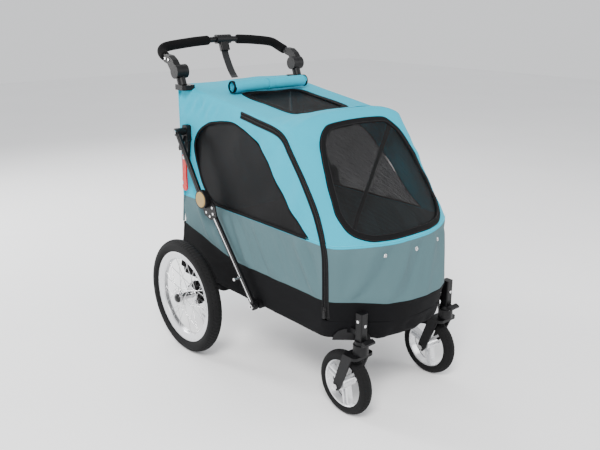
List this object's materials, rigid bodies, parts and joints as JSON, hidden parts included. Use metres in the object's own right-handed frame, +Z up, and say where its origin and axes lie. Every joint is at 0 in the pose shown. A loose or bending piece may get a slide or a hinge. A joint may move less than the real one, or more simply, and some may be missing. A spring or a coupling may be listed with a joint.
{
  "type": "pet stroller",
  "caption": "Folding pet stroller with a fabric cabin, mesh windows, a lifting front panel, spoked rear wheels, swivel casters and a tilting handlebar.",
  "frame": {"origin": "on the ground, under the middle of the overall length and width", "axes": "+Z up; -Y to the stroller's front; +X to the user's left, so the transport hook is at -X"},
  "size_m": [0.714, 1.0062, 1.0595],
  "materials": {
    "frame_black": "black powder coat",
    "axle_black": "black powder coat",
    "black_plastic": "moulded, fine grain",
    "lock_plastic": "moulded, satin",
    "steel_bright": "bright zinc",
    "rim_silver": "satin silver",
    "spoke_steel": "bright",
    "tyre_black": "treaded rubber",
    "brake_black": "satin",
    "cloth_upper": "turquoise polyester canvas",
    "cloth_band": "blue-grey polyester canvas",
    "cloth_tub": "black polyester canvas",
    "mesh_black": "open black mesh",
    "tape_black": "woven zipper tape",
    "cushion_cloth": "charcoal fleece",
    "board_black": "pressed board",
    "grip_foam": "matt foam",
    "hook_red": "red moulded",
    "button_sand": "sand coloured, satin",
    "strap_web": "woven webbing"
  },
  "bodies": {
    "root": {"base_frame": "frame_black", "base_rivets": "steel_bright", "rear_axle": "axle_black", "caster_posts": "frame_black", "caster_brackets": "black_plastic", "floor_board": "board_black", "floor_cushion": "cushion_cloth", "tub": "cloth_tub", "side_band": "cloth_band", "canopy": "cloth_upper", "side_windows": "mesh_black", "top_window": "mesh_black", "cover_roll": "cloth_upper", "zipper_tapes": "tape_black"},
    "rear_frame": {"uprights": "frame_black", "corner_caps": "black_plastic", "handle_sockets": "black_plastic", "strut_brackets": "black_plastic", "strut_pins": "steel_bright", "rear_panel": "cloth_upper"},
    "front_hoop": {"front_hoop": "frame_black"},
    "front_door": {"door_panel": "cloth_upper", "front_window": "mesh_black", "door_snaps": "steel_bright"},
    "handlebar": {"handle_tube": "frame_black", "grips": "grip_foam", "handle_arms": "black_plastic", "handle_rivets": "steel_bright", "centre_sleeve": "black_plastic", "handle_strap": "strap_web"},
    "transport_hook": {"transport_hook": "hook_red"},
    "brake_bar": {"brake_bar": "frame_black"},
    "strut_upper_left": {"strut_upper_left": "frame_black"},
    "strut_lower_left": {"strut_lower_left": "frame_black", "strut_rivets_left": "steel_bright"},
    "release_button_left": {"release_button_left": "button_sand"},
    "rear_wheel_left": {"rear_tyre_left": "tyre_black", "rear_rim_left": "rim_silver", "rear_spokes_left": "spoke_steel", "rear_hub_left": "spoke_steel", "brake_disc_left": "brake_black"},
    "caster_fork_left": {"caster_fork_left": "black_plastic", "caster_bolt_left": "steel_bright"},
    "front_wheel_left": {"front_tyre_left": "tyre_black", "front_rim_left": "rim_silver"},
    "swivel_lock_left": {"swivel_lock_left": "lock_plastic"},
    "strut_upper_right": {"strut_upper_right": "frame_black"},
    "strut_lower_right": {"strut_lower_right": "frame_black", "strut_rivets_right": "steel_bright"},
    "release_button_right": {"release_button_right": "button_sand"},
    "rear_wheel_right": {"rear_tyre_right": "tyre_black", "rear_rim_right": "rim_silver", "rear_spokes_right": "spoke_steel", "rear_hub_right": "spoke_steel", "brake_disc_right": "brake_black"},
    "caster_fork_right": {"caster_fork_right": "black_plastic", "caster_bolt_right": "steel_bright"},
    "front_wheel_right": {"front_tyre_right": "tyre_black", "front_rim_right": "rim_silver"},
    "swivel_lock_right": {"swivel_lock_right": "lock_plastic"}
  },
  "joints": [
    {"name": "frame_fold", "type": "hinge", "parent": "root", "child": "rear_frame", "pos_m": [0, 0.32491, 0.255], "axis": [1, 0, 0], "range_deg": [0, 68], "deforming": ["canopy", "side_band", "side_windows", "top_window", "cover_roll", "zipper_tapes", "door_panel", "front_window", "door_snaps", "rear_panel", "tub"]},
    {"name": "hoop_fold", "type": "hinge", "parent": "root", "child": "front_hoop", "pos_m": [0, -0.01709, 0.375], "axis": [1, 0, 0], "range_deg": [0, 63]},
    {"name": "door_lift", "type": "hinge", "parent": "front_hoop", "child": "front_door", "pos_m": [0, -0.15769, 0.8645], "axis": [-1, 0, 0], "range_deg": [0, 100]},
    {"name": "handle_tilt", "type": "hinge", "parent": "rear_frame", "child": "handlebar", "pos_m": [0, 0.37091, 0.953], "axis": [1, 0, 0], "range_deg": [-60, 55], "deforming": ["handle_strap"]},
    {"name": "hook_swing", "type": "hinge", "parent": "rear_frame", "child": "transport_hook", "pos_m": [-0.26, 0.35191, 0.668], "axis": [-1, 0, 0], "range_deg": [0, 60]},
    {"name": "brake_press", "type": "hinge", "parent": "root", "child": "brake_bar", "pos_m": [0, 0.35011, 0.1964], "axis": [-1, 0, 0], "range_deg": [0, 12]},
    {"name": "strut_upper_fold_left", "type": "hinge", "parent": "rear_frame", "child": "strut_upper_left", "pos_m": [0.29, 0.33991, 0.76], "axis": [1, 0, 0], "range_deg": [-120.93, 0]},
    {"name": "strut_lower_fold_left", "type": "hinge", "parent": "root", "child": "strut_lower_left", "pos_m": [0.272, -0.03909, 0.254], "axis": [1, 0, 0], "range_deg": [0, 100.43]},
    {"name": "button_press_left", "type": "slide", "parent": "strut_upper_left", "child": "release_button_left", "axis": [-1, 0, 0], "range_m": [0, 0.004], "stiffness_N_per_m": 500, "springref_m": -0.001},
    {"name": "rear_wheel_spin_left", "type": "hinge", "parent": "root", "child": "rear_wheel_left", "pos_m": [0.324, 0.28291, 0.2], "axis": [1, 0, 0], "continuous": true},
    {"name": "caster_swivel_left", "type": "hinge", "parent": "root", "child": "caster_fork_left", "pos_m": [0.1906, -0.43309, 0.23], "axis": [0, 0, 1], "continuous": true},
    {"name": "front_wheel_spin_left", "type": "hinge", "parent": "caster_fork_left", "child": "front_wheel_left", "pos_m": [0.1906, -0.37549, 0.1], "axis": [1, 0, 0], "continuous": true},
    {"name": "swivel_lock_tilt_left", "type": "hinge", "parent": "root", "child": "swivel_lock_left", "pos_m": [0.1906, -0.45659, 0.257], "axis": [-1, 0, 0], "range_deg": [0, 25]},
    {"name": "strut_upper_fold_right", "type": "hinge", "parent": "rear_frame", "child": "strut_upper_right", "pos_m": [-0.29, 0.33991, 0.76], "axis": [1, 0, 0], "range_deg": [-120.93, 0]},
    {"name": "strut_lower_fold_right", "type": "hinge", "parent": "root", "child": "strut_lower_right", "pos_m": [-0.272, -0.03909, 0.254], "axis": [1, 0, 0], "range_deg": [0, 100.43]},
    {"name": "button_press_right", "type": "slide", "parent": "strut_upper_right", "child": "release_button_right", "axis": [1, 0, 0], "range_m": [0, 0.004], "stiffness_N_per_m": 500, "springref_m": -0.001},
    {"name": "rear_wheel_spin_right", "type": "hinge", "parent": "root", "child": "rear_wheel_right", "pos_m": [-0.324, 0.28291, 0.2], "axis": [1, 0, 0], "continuous": true},
    {"name": "caster_swivel_right", "type": "hinge", "parent": "root", "child": "caster_fork_right", "pos_m": [-0.1906, -0.43309, 0.23], "axis": [0, 0, 1], "continuous": true},
    {"name": "front_wheel_spin_right", "type": "hinge", "parent": "caster_fork_right", "child": "front_wheel_right", "pos_m": [-0.1906, -0.37549, 0.1], "axis": [1, 0, 0], "continuous": true},
    {"name": "swivel_lock_tilt_right", "type": "hinge", "parent": "root", "child": "swivel_lock_right", "pos_m": [-0.1906, -0.45659, 0.257], "axis": [-1, 0, 0], "range_deg": [0, 25]}
  ],
  "couplings": [
    {"joint": "hoop_fold", "follows": "frame_fold", "ratio": 0.92647},
    {"joint": "strut_upper_fold_left", "follows": "frame_fold", "ratio": -1.7784},
    {"joint": "strut_lower_fold_left", "follows": "frame_fold", "ratio": 1.4769},
    {"joint": "strut_upper_fold_right", "follows": "frame_fold", "ratio": -1.7784},
    {"joint": "strut_lower_fold_right", "follows": "frame_fold", "ratio": 1.4769}
  ]
}
